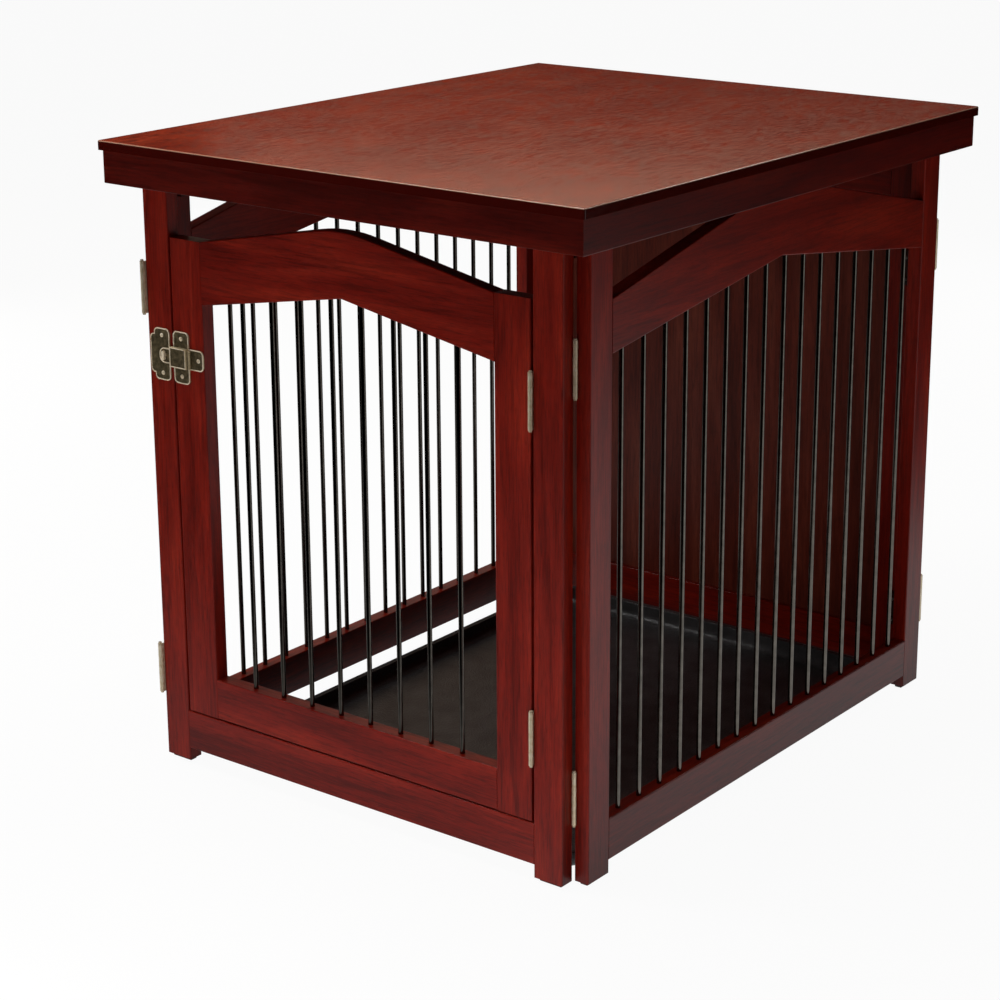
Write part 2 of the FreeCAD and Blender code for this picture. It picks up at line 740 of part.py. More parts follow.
# Top: slab, mitred aprons, corner blocks and the pads that keep it in place
slab_x = right + top_overhang_sides
slab_y = back + top_overhang_ends
slab = eased(box(-slab_x, slab_x, -slab_y, slab_y, slab_bottom, crate_height), upward, slab_radius)
slab_rim = [edge for edge in slab.Edges if edge.BoundBox.ZMin > crate_height - slab_radius]
add("top_slab", slab.makeFillet(slab_radius, slab_rim))
apron_x, apron_y = slab_x - slab_lip, slab_y - slab_lip
inside_x, inside_y = apron_x - apron_thickness, apron_y - apron_thickness


def apron_board(outer, inner):
    """A board whose ends are mitred between the outer and the inner outline."""
    corners = [Vector(*point, apron_bottom) for point in outer + inner]
    board = Part.Face(Part.makePolygon(corners + corners[:1])).extrude(upward * apron_height)
    middle = (corners[0] + corners[1]) / 2
    lower = [edge for edge in board.Edges if edge.CenterOfMass.isEqual(middle, apron_edge)]
    return board.makeFillet(apron_edge, lower)


for name, side in (("apron_front", -1), ("apron_back", 1)):
    add(name, apron_board([(-apron_x, side * apron_y), (apron_x, side * apron_y)],
                          [(inside_x, side * inside_y), (-inside_x, side * inside_y)]))
for name, side in (("apron_left", -1), ("apron_right", 1)):
    add(name, apron_board([(side * apron_x, -apron_y), (side * apron_x, apron_y)],
                          [(side * inside_x, inside_y), (side * inside_x, -inside_y)]))


def corner_box(corner, size, low, high):
    """A square block that reaches from a corner towards the middle of the plan."""
    x, y = corner
    xs = sorted((x, x - math.copysign(size, x)))
    ys = sorted((y, y - math.copysign(size, y)))
    return box(*xs, *ys, low, high)


pad_x = right - panel_thickness - pad_clearance
pad_y = back - panel_thickness - pad_clearance
screw_x = inside_x - block_size + block_screw_inset
screw_y = inside_y - block_size + block_screw_inset
for side_x in (-1, 1):
    for side_y in (-1, 1):
        block_corner = (side_x * inside_x, side_y * inside_y)
        pad_corner = (side_x * pad_x, side_y * pad_y)
        spot = Vector(side_x * screw_x, side_y * screw_y, post_top)
        add("top_corner_blocks", corner_box(block_corner, block_size, post_top, slab_bottom))
        add("top_locating_pads", corner_box(pad_corner, pad_size, post_top - pad_height, post_top))
        add("top_block_screws", mounted(round_screw(0), spot, across, upward))
        drill("top_corner_blocks", mounted(round_screw_hole(0), spot, across, upward))


# Floor tray: a shallow moulding with a flat rim and rounded lower edges
def tray_block(inset, z0, z1):
    """A block with rounded corners, a given distance inside the tray's outline."""
    x0, x1 = left + panel_thickness + tray_left_gap, right - panel_thickness - tray_right_gap
    y0, y1 = front + panel_thickness + tray_front_gap, back - panel_thickness - tray_back_gap
    block = box(x0 + inset, x1 - inset, y0 + inset, y1 - inset, z0, z1)
    return eased(block, upward, tray_corner_radius - inset)


def round_bottomed(block, radius):
    """Rounds the lower edges of a block all the way round."""
    low = block.BoundBox.ZMin
    return block.makeFillet(radius, [edge for edge in block.Edges if edge.BoundBox.ZMax < low + radius / 2])


tray_body = tray_block(tray_rim_width - tray_wall, 0, tray_height)
tray_body = round_bottomed(tray_body, tray_floor_radius + tray_wall)
tray_rim = tray_block(0, tray_height - tray_wall, tray_height)
tray_pocket = tray_block(tray_rim_width, tray_wall, tray_height + overrun)
tray_pocket = round_bottomed(tray_pocket, tray_floor_radius)
tray = tray_body.fuse(tray_rim).cut(tray_pocket).removeSplitter()
rim_edges = [edge for edge in tray.Edges if edge.BoundBox.ZMin > tray_height - tray_wall / 2]
add("tray", tray.makeFillet(tray_rim_radius, rim_edges))

# Every hole is cut, and each piece or group is written out
os.makedirs("parts", exist_ok=True)
for name, solids in pieces.items():
    if name in drill_holes:
        holes = Part.makeCompound(drill_holes[name])
        solids = [solid.cut(holes) for solid in solids]
    shape = solids[0] if len(solids) == 1 else Part.makeCompound(solids)
    shape.exportStep("parts/" + name + ".step")
    print(name, len(shape.Solids), shape.isValid(), round(shape.Volume))
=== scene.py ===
import math

import bmesh
import bpy
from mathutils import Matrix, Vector


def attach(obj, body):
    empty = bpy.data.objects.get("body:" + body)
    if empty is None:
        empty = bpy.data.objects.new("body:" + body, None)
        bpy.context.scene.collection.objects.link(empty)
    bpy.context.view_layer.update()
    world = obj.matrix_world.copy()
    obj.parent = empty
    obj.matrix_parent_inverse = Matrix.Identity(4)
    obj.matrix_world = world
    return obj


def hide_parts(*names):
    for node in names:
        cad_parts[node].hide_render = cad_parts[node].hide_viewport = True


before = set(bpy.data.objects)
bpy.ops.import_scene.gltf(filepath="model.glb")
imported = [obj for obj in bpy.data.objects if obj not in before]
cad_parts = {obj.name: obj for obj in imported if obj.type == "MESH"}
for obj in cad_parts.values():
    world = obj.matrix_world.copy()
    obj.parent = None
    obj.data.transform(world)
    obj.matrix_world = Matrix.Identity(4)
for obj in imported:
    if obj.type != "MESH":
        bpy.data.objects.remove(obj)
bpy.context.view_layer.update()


# Wooden frames: the posts, stiles and rails of the four sides and the door.
# They are hardwood boards, stained mahogany red and sprayed with a satin lacquer.
# Rails are tenoned into the posts, and the grain runs along each board.
def rgb(code):
    """Linear colour from an sRGB hex code."""
    parts = [int(code[i:i + 2], 16) / 255 for i in (1, 3, 5)]
    return [p / 12.92 if p <= 0.04045 else ((p + 0.055) / 1.055) ** 2.4 for p in parts] + [1.0]


def node(tree, kind, inputs, stops=(), **settings):
    """Adds a node and gives back its first output. An input is a value or another node's output.

    Stops are those of a colour ramp. Each is a place with a grey or a colour.
    """
    made = tree.nodes.new(kind if kind.startswith("Geometry") else "ShaderNode" + kind)
    for name, value in settings.items():
        setattr(made, name, value)
    for name, value in inputs.items():
        socket = next(s for s in made.inputs if s.name == name and s.enabled)
        if isinstance(value, bpy.types.NodeSocket):
            tree.links.new(value, socket)
        else:
            socket.default_value = value
    if stops:
        elements = made.color_ramp.elements
        while len(elements) < len(stops):
            elements.new(0.5)
        for element, (place, colour) in zip(elements, stops):
            element.position = place
            element.color = colour if isinstance(colour, list) else (colour, colour, colour, 1)
    return next(s for s in made.outputs if s.enabled)


def finish_of(name, **surface):
    """A new material and its shader, with the values that are the same all over set on the shader."""
    material = bpy.data.materials.new(name)
    material.use_nodes = True
    tree = material.node_tree
    shader = tree.nodes["Principled BSDF"]
    for socket, value in surface.items():
        shader.inputs[socket.replace("_", " ")].default_value = value
    return material, tree, shader


def cover(shader, **patterns):
    """Links patterns to the shader's sockets."""
    for socket, pattern in patterns.items():
        shader.id_data.links.new(pattern, shader.inputs[socket.replace("_", " ")])


def per_metre(size):
    """How often a pattern of a size in millimetres repeats in a metre."""
    return 1000 / size


def board_space(tree, sizes):
    """Object space in which one unit is a patch of some millimetres along x, y and z.

    It is moved on for each board, so that no two boards share their grain.
    """
    units_between_boards = 9.0
    coordinates = node(tree, "TexCoord", {}).node.outputs["Object"]
    board = node(tree, "ObjectInfo", {}).node.outputs["Random"]
    step = node(tree, "Math", {"Value": board}, operation="MULTIPLY")
    step.node.inputs[1].default_value = units_between_boards
    offset = node(tree, "CombineXYZ", {"X": step, "Y": step, "Z": step})
    scale = [per_metre(size) for size in sizes]
    return node(tree, "Mapping", {"Vector": coordinates, "Location": offset, "Scale": scale})


def wood(name, along, dark, middle, light):
    """Lacquered wood with broad figure, dark streaks and open pores that break the shine, along one axis.

    The pores are drawn coarser than real ones, so that they show.
    """
    material, tree, shader = finish_of(name, Specular_IOR_Level=0.32, IOR=1.5)

    def patch(across, lengthwise):
        return board_space(tree, [lengthwise if axis == along else across for axis in "XYZ"])

    figure = node(tree, "TexNoise", {"Vector": patch(29.41, 285.7), "Scale": 1.0, "Detail": 5.0,
                                     "Roughness": 0.55, "Distortion": 0.5})
    streaks = node(tree, "TexNoise", {"Vector": patch(3.125, 71.43), "Scale": 1.0, "Detail": 4.0,
                                      "Roughness": 0.62, "Distortion": 0.9})
    pores = node(tree, "TexNoise", {"Vector": patch(0.9091, 13.333), "Scale": 1.0, "Detail": 2.0})
    base = node(tree, "ValToRGB", {"Fac": figure},
                [(0.30, rgb(dark)), (0.52, rgb(middle)), (0.74, rgb(light))])
    streak_mask = node(tree, "ValToRGB", {"Fac": streaks}, [(0.36, 0.35), (0.56, 1.0)])
    pore_mask = node(tree, "ValToRGB", {"Fac": pores}, [(0.38, 0.45), (0.47, 1.0)])
    shade = node(tree, "Mix", {"Factor": 0.62, "A": base, "B": streak_mask}, data_type="RGBA",
                 blend_type="MULTIPLY")
    colour = node(tree, "Mix", {"Factor": 0.5, "A": shade, "B": pore_mask}, data_type="RGBA",
                  blend_type="MULTIPLY")
    gloss = node(tree, "MapRange", {"Value": streaks, "To Min": 0.40, "To Max": 0.27})
    relief = node(tree, "Bump", {"Height": pore_mask, "Strength": 0.18, "Distance": 0.0002})
    cover(shader, Base_Color=colour, Roughness=gloss, Normal=relief)
    return material


def dress(material, *names):
    """Gives CAD nodes a finish."""
    for name in names:
        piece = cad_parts[name]
        piece.data.materials.clear()
        piece.data.materials.append(material)


post_wood = wood("mahogany_upright", "Z", "#640e05", "#7e1608", "#962410")
front_rail_wood = wood("mahogany_across", "X", "#600d05", "#7b1508", "#93230f")
side_rail_wood = wood("mahogany_lengthwise", "Y", "#600f06", "#7a1709", "#912411")
dress(post_wood, "front_left_post", "front_right_post", "left_front_post", "left_back_post",
      "right_front_post", "right_back_post", "back_left_post", "back_right_post",
      "door_left_stile", "door_right_stile")
dress(front_rail_wood, "front_bottom_rail", "back_bottom_rail", "back_top_rail",
      "door_top_rail", "door_bottom_rail")
dress(side_rail_wood, "left_top_rail", "left_bottom_rail", "right_top_rail", "right_bottom_rail")


# Foot glides and back board: the glides are small dark wooden blocks under the posts.
# The board is a plain upright veneer, held in grooves of the back panel's frame.
glide_wood = wood("glide_wood", "Z", "#2c0a06", "#3d100a", "#4b1810")
# The board's browner, paler colour is partly its own veneer and partly a painted sheen.
board_wood_and_sheen = wood("board_veneer", "Z", "#4e1c13", "#622519", "#753425")
dress(glide_wood, "frame_feet", "right_feet", "back_feet")
dress(board_wood_and_sheen, "back_board")


# Rods: drawn steel wire with a dark nickel plating, cut to length.
# They stand in blind holes of the rails, as the bars of the sides and the door.
def black_nickel():
    """Mirrors the surroundings darkly. A slight unevenness breaks up the long highlights."""
    material, tree, shader = finish_of("rod_nickel", Metallic=1.0)
    coordinates = node(tree, "TexCoord", {}).node.outputs["Object"]
    wave = node(tree, "TexNoise", {"Vector": coordinates, "Scale": per_metre(11.111), "Detail": 3.0})
    colour = node(tree, "ValToRGB", {"Fac": wave}, [(0.3, rgb("#5c5852")), (0.7, rgb("#716c65"))])
    gloss = node(tree, "MapRange", {"Value": wave, "To Min": 0.12, "To Max": 0.2})
    cover(shader, Base_Color=colour, Roughness=gloss)
    return material


dress(black_nickel(), "left_rods", "right_rods", "door_rods")


# Top: a veneered slab on four mitred apron boards, with corner blocks and pads under it.
# The blocks are screwed on, the pads drop inside the posts, and the whole top lifts off.
def veneer(name, edge, pale_border_highlight, dark, middle, light):
    """Polished veneer with short, wispy figure. Its rounded border carries a painted pale highlight over a
    dark edge.
    """
    material, tree, shader = finish_of(name, Specular_IOR_Level=0.4, IOR=1.5)
    normal = node(tree, "TexCoord", {}).node.outputs["Normal"]
    upward = node(tree, "SeparateXYZ", {"Vector": normal}).node.outputs["Z"]
    cloud_space = board_space(tree, [71.43, 125, 71.43])
    wisp_space = board_space(tree, [6.6667, 26.316, 6.6667])
    fibre_space = board_space(tree, [1.1111, 16.667, 1.1111])
    cloud = node(tree, "TexNoise", {"Vector": cloud_space, "Scale": 1.0, "Detail": 5.0,
                                    "Roughness": 0.65, "Distortion": 0.6})
    wisps = node(tree, "TexNoise", {"Vector": wisp_space, "Scale": 1.0, "Detail": 6.0,
                                    "Roughness": 0.68, "Distortion": 1.2})
    fibres = node(tree, "TexNoise", {"Vector": fibre_space, "Scale": 1.0, "Detail": 2.0})
    base = node(tree, "ValToRGB", {"Fac": cloud},
                [(0.25, rgb(dark)), (0.5, rgb(middle)), (0.75, rgb(light))])
    wisp_mask = node(tree, "ValToRGB", {"Fac": wisps}, [(0.40, 0.4), (0.50, 1.0), (0.60, 1.6)])
    fibre_mask = node(tree, "ValToRGB", {"Fac": fibres}, [(0.36, 0.72), (0.5, 1.0)])
    shade = node(tree, "Mix", {"Factor": 0.75, "A": base, "B": wisp_mask}, data_type="RGBA",
                 blend_type="MULTIPLY")
    face = node(tree, "Mix", {"Factor": 0.5, "A": shade, "B": fibre_mask}, data_type="RGBA",
                blend_type="MULTIPLY")
    # The pale colour on the rounded border, between the side and the top, is a painted highlight.
    border = node(tree, "ValToRGB", {"Fac": upward},
                  [(0.2, rgb(edge)), (0.45, rgb(pale_border_highlight)), (0.8, rgb(pale_border_highlight))])
    face_share = node(tree, "ValToRGB", {"Fac": upward}, [(0.82, 0.0), (0.97, 1.0)])
    colour = node(tree, "Mix", {"Factor": face_share, "A": border, "B": face}, data_type="RGBA")
    gloss = node(tree, "MapRange", {"Value": wisps, "From Min": 0.4, "From Max": 0.6, "To Min": 0.2,
                                    "To Max": 0.1})
    relief = node(tree, "Bump", {"Height": wisps, "Strength": 0.22, "Distance": 0.0004})
    cover(shader, Base_Color=colour, Roughness=gloss, Normal=relief)
    return material


apron_colours = ("#440904", "#560d06", "#6a1709")
# The pale colour given for the slab's rounded border is a painted highlight.
dress(veneer("top_veneer", "#3c0804", "#a9806a", "#74200f", "#842913", "#963820"), "top_slab")
dress(wood("apron_across", "X", *apron_colours), "apron_front", "apron_back")
dress(wood("apron_lengthwise", "Y", *apron_colours), "apron_left", "apron_right")
dress(glide_wood, "top_corner_blocks", "top_locating_pads")


# Hinges: butt hinges at the door, at two corners and at the free ends of the panels.
# They are rolled from brass strip, joined by pins and held by countersunk screws.
def pale_brass_and_highlight():
    """Pale brass with fine scratches along the barrels, drawn coarse enough to show. Its cream colour is
    partly a painted highlight.
    """
    material, tree, shader = finish_of("hinge_brass", Metallic=0.45)
    coordinates = node(tree, "TexCoord", {}).node.outputs["Object"]
    scratch_scale = [per_metre(size) for size in (0.625, 0.625, 16.667)]
    scratch_space = node(tree, "Mapping", {"Vector": coordinates, "Scale": scratch_scale})
    scratches = node(tree, "TexNoise", {"Vector": scratch_space, "Scale": 1.0, "Detail": 3.0})
    tarnish = node(tree, "TexNoise", {"Vector": coordinates, "Scale": per_metre(6.25), "Detail": 4.0})
    # The pale cream of these colours partly paints the barrels' highlights.
    colour = node(tree, "ValToRGB", {"Fac": tarnish},
                  [(0.30, rgb("#d3bd9c")), (0.5, rgb("#e6d4b6")), (0.75, rgb("#f0e2ca"))])
    gloss = node(tree, "MapRange", {"Value": scratches, "To Min": 0.14, "To Max": 0.26})
    relief = node(tree, "Bump", {"Height": scratches, "Strength": 0.04, "Distance": 0.0001})
    cover(shader, Base_Color=colour, Roughness=gloss, Normal=relief)
    return material


dress(pale_brass_and_highlight(), "door_hinge_post_leaves", "door_hinge_leaves", "door_hinge_screws",
      "corner_hinge_fixed_leaves", "right_hinge_leaves", "back_hinge_leaves", "hinge_pins",
      "front_end_hinges", "right_end_hinges", "right_end_pins", "frame_hinge_screws",
      "right_panel_screws", "back_hinge_screws")


# Latch: a flap hinged to the door's plate, held by a turning staple on the post's plate.
# The plates are cast brass with a dark antique finish, and cross-head screws hold them.
# Their rims, the staple and the screw heads are worn bright by use, and their pale colour is partly a
# painted highlight.
def antique_brass():
    """Dark, dull and pebbled on the flat faces, and pale where the surface turns away from them, as worn
    edges and as a painted highlight.
    """
    material, tree, shader = finish_of("latch_brass", Metallic=0.5)
    spot = node(tree, "TexCoord", {}).node.outputs
    facing = node(tree, "SeparateXYZ", {"Vector": spot["Normal"]}).node.outputs["Y"]
    flatness = node(tree, "Math", {"Value": facing}, operation="ABSOLUTE")
    edge_wear_and_highlight = node(tree, "ValToRGB", {"Fac": flatness}, [(0.72, 1.0), (0.97, 0.0)])
    pebbles = node(tree, "TexVoronoi", {"Vector": spot["Object"], "Scale": per_metre(1.1111)},
                   feature="SMOOTH_F1")
    patina = node(tree, "TexNoise", {"Vector": spot["Object"], "Scale": per_metre(4.5455), "Detail": 4.0})
    face = node(tree, "ValToRGB", {"Fac": patina},
                [(0.3, rgb("#4a412e")), (0.55, rgb("#6a5e45")), (0.8, rgb("#8f8060"))])
    # Faces that turn away from the front get a pale colour, partly a painted highlight.
    colour = node(tree, "Mix", {"Factor": edge_wear_and_highlight, "A": face, "B": rgb("#e8d3a8")}, data_type="RGBA")
    gloss = node(tree, "MapRange", {"Value": edge_wear_and_highlight, "To Min": 0.42, "To Max": 0.2})
    relief = node(tree, "Bump", {"Height": pebbles, "Strength": 0.5, "Distance": 0.0003})
    cover(shader, Base_Color=colour, Roughness=gloss, Normal=relief)
    return material


def worn_brass_and_highlight():
    """Pale, worn brass, whose paleness also stands in for highlights. It is mostly not metallic, so that it
    stays pale beside a dark floor.
    """
    material, tree, shader = finish_of("worn_brass_and_highlight", Metallic=0.15)
    coordinates = node(tree, "TexCoord", {}).node.outputs["Object"]
    wear = node(tree, "TexNoise", {"Vector": coordinates, "Scale": per_metre(2.381), "Detail": 4.0})
    colour = node(tree, "ValToRGB", {"Fac": wear},
                  [(0.30, rgb("#c9b28c")), (0.5, rgb("#f3e3c6")), (0.8, rgb("#fff4e4"))])
    gloss = node(tree, "MapRange", {"Value": wear, "To Min": 0.36, "To Max": 0.2})
    cover(shader, Base_Color=colour, Roughness=gloss)
    return material


def cleaned(name):
    """A CAD node's mesh as a bmesh with its seams joined."""
    mesh = bmesh.new()
    mesh.from_mesh(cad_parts[name].data)
    mesh.transform(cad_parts[name].matrix_world)
    bmesh.ops.remove_doubles(mesh, verts=mesh.verts, dist=0.00001)
    return mesh


def face_loops(mesh):
    """Closed loops of points round the flat front faces of a plate."""
    front_faces = {f for f in mesh.faces if f.normal.y < -0.9999}
    border = [e for e in mesh.edges if len(front_faces.intersection(e.link_faces)) == 1]
    loops = []
    while border:
        first = border.pop()
        loop = [first.verts[0], first.verts[1]]
        while loop[-1] != loop[0]:
            step = next(e for e in border if loop[-1] in e.verts)
            border.remove(step)
            loop.append(step.other_vert(loop[-1]))
        loops.append([v.co.copy() for v in loop[:-1]])
    return loops


def length_of(loop):
    """The way once round a closed loop of points."""
    return sum((a - b).length for a, b in zip(loop, loop[1:] + loop[:1]))


def rim(name, node_name, body, material):
    """A round bead along the longer edges of a plate's front. Holes and slots get none."""
    bead_radius = 0.0008
    shortest_edge = 0.05
    mesh = cleaned(node_name)
    curve = bpy.data.curves.new(name, "CURVE")
    curve.dimensions = "3D"
    curve.bevel_depth = bead_radius
    curve.bevel_resolution = 3
    for loop in face_loops(mesh):
        if length_of(loop) < shortest_edge:
            continue
        spline = curve.splines.new("POLY")
        spline.points.add(len(loop) - 1)
        spline.use_cyclic_u = True
        for point, place in zip(spline.points, loop):
            point.co = (*place, 1.0)
    mesh.free()
    guide = bpy.data.objects.new(name + "_path", curve)
    bpy.context.collection.objects.link(guide)
    bead = bpy.data.objects.new(name, bpy.data.meshes.new_from_object(guide))
    bpy.data.objects.remove(guide)
    bpy.context.collection.objects.link(bead)
    bead.data.shade_smooth()
    bead.data.materials.clear()
    bead.data.materials.append(material)
    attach(bead, body)


def cross_heads(material):
    """A tree that puts a domed screw head with a cross recess on each point of a mesh, facing the front."""
    tree = bpy.data.node_groups.new("cross_heads", "GeometryNodeTree")
    tree.interface.new_socket("Points", in_out="INPUT", socket_type="NodeSocketGeometry")
    for size in ("Radius", "Height", "Recess Length", "Recess Width"):
        tree.interface.new_socket(size, in_out="INPUT", socket_type="NodeSocketFloat")
    tree.interface.new_socket("Heads", in_out="OUTPUT", socket_type="NodeSocketGeometry")
    given = tree.nodes.new("NodeGroupInput").outputs
    height, long, wide = given["Height"], given["Recess Length"], given["Recess Width"]
    dome_size = node(tree, "CombineXYZ", {"X": given["Radius"], "Y": given["Radius"], "Z": height})
    ball = node(tree, "GeometryNodeMeshUVSphere", {"Segments": 32, "Rings": 16, "Radius": 1.0})
    ball = node(tree, "GeometryNodeSetShadeSmooth", {"Geometry": ball})
    dome = node(tree, "GeometryNodeTransform", {"Geometry": ball, "Scale": dome_size})
    crown = node(tree, "CombineXYZ", {"Z": height})
    slots = []
    for x, y in ((long, wide), (wide, long)):
        slot_size = node(tree, "CombineXYZ", {"X": x, "Y": y, "Z": height})
        slot = node(tree, "GeometryNodeMeshCube", {"Size": slot_size})
        slots.append(node(tree, "GeometryNodeTransform", {"Geometry": slot, "Translation": crown}))
    head = node(tree, "GeometryNodeMeshBoolean", {"Mesh 1": dome, "Mesh 2": slots[0]},
                operation="DIFFERENCE")
    tree.links.new(slots[1], head.node.inputs["Mesh 2"])
    facing_front = (math.radians(90), 0, 0)
    placed = node(tree, "GeometryNodeInstanceOnPoints",
                  {"Points": given["Points"], "Instance": head, "Rotation": facing_front})
    whole = node(tree, "GeometryNodeRealizeInstances", {"Geometry": placed})
    done = node(tree, "GeometryNodeSetMaterial", {"Geometry": whole, "Material": material})
    tree.links.new(done, tree.nodes.new("NodeGroupOutput").inputs["Heads"])
    return tree


def solid_boxes(mesh):
    """The lowest and highest corner of each separate solid in a mesh."""
    left = set(mesh.verts)
    boxes = []
    while left:
        found, edge = [], [left.pop()]
        while edge:
            point = edge.pop()
            found.append(point.co.copy())
            near = {e.other_vert(point) for e in point.link_edges} & left
            left -= near
            edge.extend(near)
        boxes.append([[pick(p[axis] for p in found) for axis in range(3)] for pick in (min, max)])
    return sorted(boxes)


def screw_heads(name, node_name, body, tree):
    """Puts heads of one size where the CAD node has its screws."""
    height = 0.0015
    mesh = cleaned(node_name)
    boxes = solid_boxes(mesh)
    mesh.free()
    radius = (boxes[0][1][0] - boxes[0][0][0]) / 2
    places = [((low[0] + high[0]) / 2, low[1] + height, (low[2] + high[2]) / 2) for low, high in boxes]
    data = bpy.data.meshes.new(name)
    data.from_pydata(places, [], [])
    heads = bpy.data.objects.new(name, data)
    bpy.context.collection.objects.link(heads)
    modifier = heads.modifiers.new("heads", "NODES")
    modifier.node_group = tree
    sizes = {"Radius": radius, "Height": height, "Recess Length": radius * 1.3,
             "Recess Width": radius * 0.32}
    for socket in tree.interface.items_tree:
        if socket.name in sizes:
            modifier[socket.identifier] = sizes[socket.name]
    shown = heads.evaluated_get(bpy.context.evaluated_depsgraph_get())
    plain_mesh = bpy.data.meshes.new_from_object(shown)
    heads.modifiers.clear()
    heads.data = plain_mesh
    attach(heads, body)
    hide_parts(node_name)


# The rims, the staple and the screw heads get pale brass, partly a painted highlight.
rim_brass = worn_brass_and_highlight()
head_tree = cross_heads(rim_brass)
dress(antique_brass(), "latch_post_plate", "latch_door_plate", "latch_flap", "latch_pin")
dress(rim_brass, "latch_staple")
screw_heads("latch_post_heads", "latch_post_screws", "frame", head_tree)
screw_heads("latch_door_heads", "latch_door_screws", "door", head_tree)
rim("latch_post_rim", "latch_post_plate", "frame", rim_brass)
rim("latch_door_rim", "latch_door_plate", "door", rim_brass)
rim("latch_flap_rim", "latch_flap", "latch_flap", rim_brass)


# Inside fittings: steel brackets hold the front and left panels together, screwed on inside.
# Magnetic catches in brown plastic hold the back to steel strikes on the right panel.
# The brackets, strikes and screws are zinc-plated.
def zinc_plate():
    """Bright grey metal, dulled in patches by a fine crystalline bloom."""
    material, tree, shader = finish_of("zinc_plate", Metallic=1.0)
    coordinates = node(tree, "TexCoord", {}).node.outputs["Object"]
    bloom = node(tree, "TexVoronoi", {"Vector": coordinates, "Scale": per_metre(1.4286)})
    cloud = node(tree, "TexNoise", {"Vector": coordinates, "Scale": per_metre(8.3333), "Detail": 3.0})
    colour = node(tree, "ValToRGB", {"Fac": cloud}, [(0.3, rgb("#8d8d8a")), (0.7, rgb("#c4c4bf"))])
    gloss = node(tree, "MapRange", {"Value": bloom, "To Min": 0.25, "To Max": 0.45})
    cover(shader, Base_Color=colour, Roughness=gloss)
    return material


def moulded(name, dark, light, grain, depth, roughness):
    """Moulded plastic. Its pebbles, of a size in millimetres and a depth in metres, scatter the shine."""
    material, tree, shader = finish_of(name)
    coordinates = node(tree, "TexCoord", {}).node.outputs["Object"]
    pebbles = node(tree, "TexVoronoi", {"Vector": coordinates, "Scale": per_metre(grain),
                                        "Smoothness": 0.6}, feature="SMOOTH_F1")
    scuffs = node(tree, "TexNoise", {"Vector": coordinates, "Scale": per_metre(41.667), "Detail": 5.0})
    colour = node(tree, "ValToRGB", {"Fac": scuffs}, [(0.35, rgb(dark)), (0.7, rgb(light))])
    gloss = node(tree, "MapRange", {"Value": scuffs, "To Min": roughness + 0.08,
                                    "To Max": roughness - 0.08})
    relief = node(tree, "Bump", {"Height": pebbles, "Strength": 0.6, "Distance": depth})
    cover(shader, Base_Color=colour, Roughness=gloss, Normal=relief)
    return material


catch_plastic = moulded("catch_plastic", "#1e120d", "#2b1a13", grain=0.8, depth=0.0001, roughness=0.45)
dress(zinc_plate(), "corner_brackets", "corner_bracket_screws", "corner_strikes", "corner_catch_screws",
      "top_block_screws")
dress(catch_plastic, "corner_catches")


# Tray: one black plastic moulding with a raised rim and a pebbled surface.
# It lies loose on the floor inside the four panels and lifts out.
# These greys are lighter than the plastic's own black; the lift is a painted sheen.
tray_plastic = moulded("tray_plastic", "#343232", "#474545", grain=2.6, depth=0.0006, roughness=0.36)
dress(tray_plastic, "tray")


# Stage: a white floor under a white sky, which the camera sees bright whatever the lamps give.
# The key lamp stands at the front left, fills stand round the crate, and cards give the sheen.
# The camera stands to the right of the front, a little above the top.
def white_floor(seen_share, shine):
    """White for the camera and plain for other light. Mirrors see it pale near the crate's right and front.

    The fades are in metres. The one behind follows a line that slants back to the right.
    """
    front_fade = {"From Min": -0.95, "From Max": -0.55}
    right_fade = {"From Min": -0.75, "From Max": -0.45}
    side_fade = {"From Min": 0.1, "From Max": 0.4}
    back_fade = {"From Min": 0.65, "From Max": 0.95}
    back_slant = -0.5
    material, tree, shader = finish_of("floor_white", Base_Color=rgb("#e8e6e3"), Roughness=0.9)
    rays = node(tree, "LightPath", {}).node.outputs
    place = node(tree, "TexCoord", {}).node.outputs["Object"]
    x, y = node(tree, "SeparateXYZ", {"Vector": place}).node.outputs[:2]
    before = node(tree, "MapRange", {"Value": y, **front_fade, "To Max": shine / 2})
    right = node(tree, "MapRange", {"Value": y, **right_fade, "To Max": shine})
    beside = node(tree, "MapRange", {"Value": x, **side_fade, "To Min": before, "To Max": right})
    behind = node(tree, "Math", {"Value": x}, operation="MULTIPLY_ADD")
    behind.node.inputs[1].default_value = back_slant
    tree.links.new(y, behind.node.inputs[2])
    mirrored = node(tree, "MapRange", {"Value": behind, **back_fade, "To Min": beside, "To Max": 0.0})
    level = node(tree, "MapRange", {"Value": rays["Is Camera Ray"], "To Min": mirrored, "To Max": 1.0})
    share = node(tree, "MapRange", {"Value": rays["Is Camera Ray"], "To Min": rays["Is Glossy Ray"],
                                    "To Max": seen_share})
    glow = node(tree, "Emission", {"Color": rgb("#ffffff"), "Strength": level})
    both = node(tree, "MixShader", {"Fac": share})
    tree.links.new(shader.outputs["BSDF"], both.node.inputs[1])
    tree.links.new(glow, both.node.inputs[2])
    tree.links.new(both, tree.nodes["Material Output"].inputs["Surface"])
    return material


floor_half = 14.0
below_feet = 0.001
corners = [(floor_half * x, floor_half * y, -below_feet) for x, y in ((-1, -1), (1, -1), (1, 1), (-1, 1))]
floor_mesh = bpy.data.meshes.new("floor")
floor_mesh.from_pydata(corners, [], [(0, 1, 2, 3)])
floor_mesh.materials.append(white_floor(seen_share=0.95, shine=0.75))
floor = bpy.data.objects.new("floor", floor_mesh)
bpy.context.collection.objects.link(floor)

dim_sky = 0.012
world = bpy.data.worlds.new("studio")
bpy.context.scene.world = world
world.use_nodes = True
sky = world.node_tree
seen = node(sky, "LightPath", {}).node.outputs["Is Camera Ray"]
sky_level = node(sky, "MapRange", {"Value": seen, "To Min": dim_sky, "To Max": 1.0})
sky.links.new(sky_level, sky.nodes["Background"].inputs["Strength"])
sky.nodes["Background"].inputs["Color"].default_value = rgb("#ffffff")


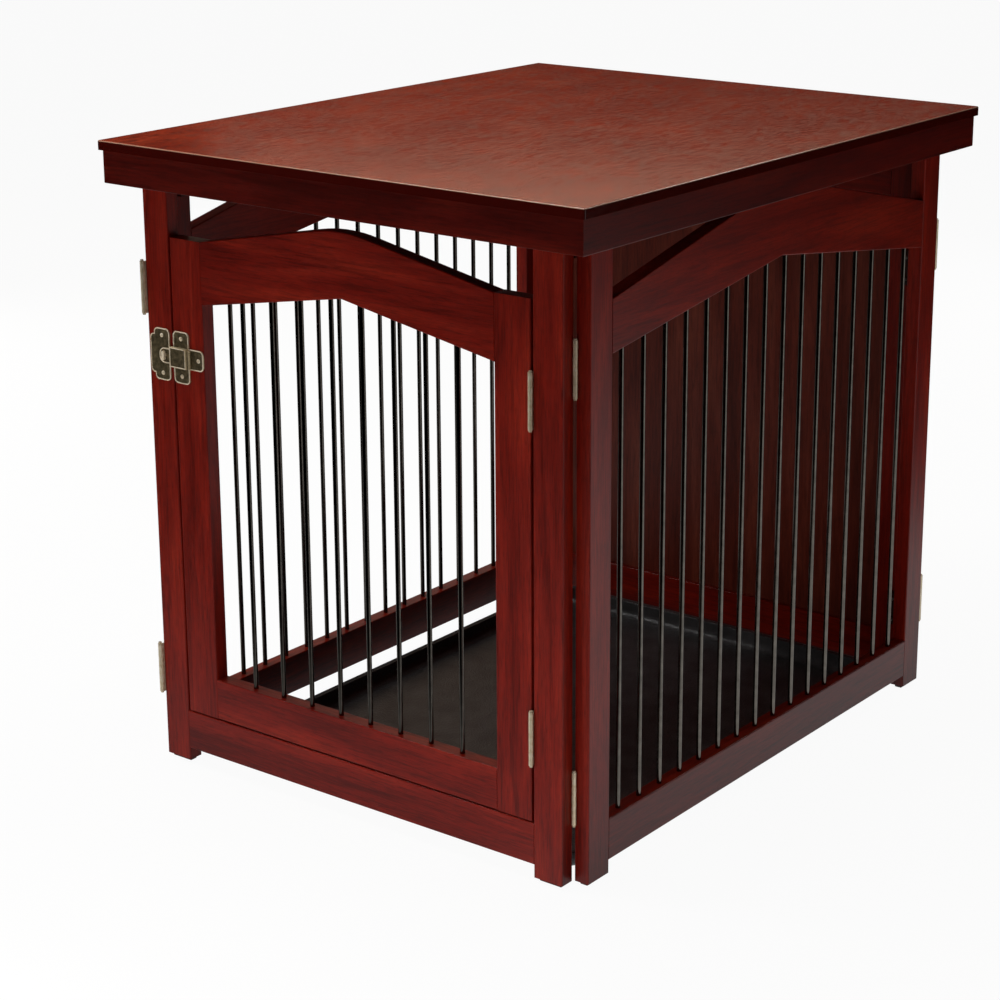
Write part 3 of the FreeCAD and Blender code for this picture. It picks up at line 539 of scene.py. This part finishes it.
def softbox(name, place, target, size, watts, shines=True, colour="#ffffff"):
    """A rectangular lamp aimed at a point. One that doesn't shine leaves no highlight."""
    data = bpy.data.lights.new(name, "AREA")
    data.shape = "RECTANGLE"
    data.size, data.size_y = size
    data.energy = watts
    data.color = rgb(colour)[:3]
    lamp = bpy.data.objects.new(name, data)
    lamp.location = place
    lamp.rotation_euler = (Vector(target) - Vector(place)).to_track_quat("-Z", "Y").to_euler()
    lamp.visible_camera = False
    lamp.visible_glossy = shines
    bpy.context.collection.objects.link(lamp)


softbox("overhead", place=(-0.3, -0.4, 2.4), target=(-0.3, -0.4, 0.0), size=(1.0, 1.0), watts=26)
softbox("front_key", place=(-3.0, -3.5, 1.0), target=(0.0, -0.4, 0.4), size=(1.2, 1.2), watts=52,
        shines=False)
softbox("low_fill", place=(0.25, -1.05, 0.13), target=(0.25, -0.4, 0.13), size=(0.9, 0.25), watts=1.9,
        shines=False)
softbox("right_fill", place=(1.1, 0.1, 0.02), target=(1.1, 0.1, 1.0), size=(1.0, 1.4), watts=5,
        shines=False)
softbox("left_fill", place=(-2.5, 0.3, 0.9), target=(0.0, 0.0, 0.1), size=(1.5, 1.5), watts=22,
        shines=False)
softbox("back_fill", place=(0.0, 3.0, 1.2), target=(0.0, 0.0, 0.3), size=(1.5, 1.5), watts=18,
        shines=False)
softbox("high_card", place=(-2.0, 2.9, 2.16), target=(0.0, 0.0, 0.8), size=(2.2, 1.1), watts=7.0,
        colour="#ffdcc0")
softbox("low_card", place=(-2.2, 2.9, 0.32), target=(0.0, 0.0, 0.2), size=(2.0, 0.9), watts=3)
softbox("front_edge_card", place=(-1.7, -1.2, 3.1), target=(0.0, -0.4, 0.6), size=(0.6, 0.6), watts=20)
softbox("right_edge_card", place=(1.0, 3.0, 2.9), target=(0.35, 0.0, 0.6), size=(0.6, 0.6), watts=14)

tilt_down = math.radians(15.973)
turn_left = math.radians(36.753)
camera_data = bpy.data.cameras.new("camera")
camera_data.sensor_width = 36.0
camera_data.lens = 86.28
camera_data.shift_x = -0.05
camera_data.shift_y = -0.08
camera = bpy.data.objects.new("camera", camera_data)
camera.location = (1.8028, -2.4293, 1.2861)
camera.rotation_euler = (math.radians(90) - tilt_down, 0.0, turn_left)
bpy.context.collection.objects.link(camera)
bpy.context.scene.camera = camera
bpy.context.scene.view_settings.view_transform = "Standard"
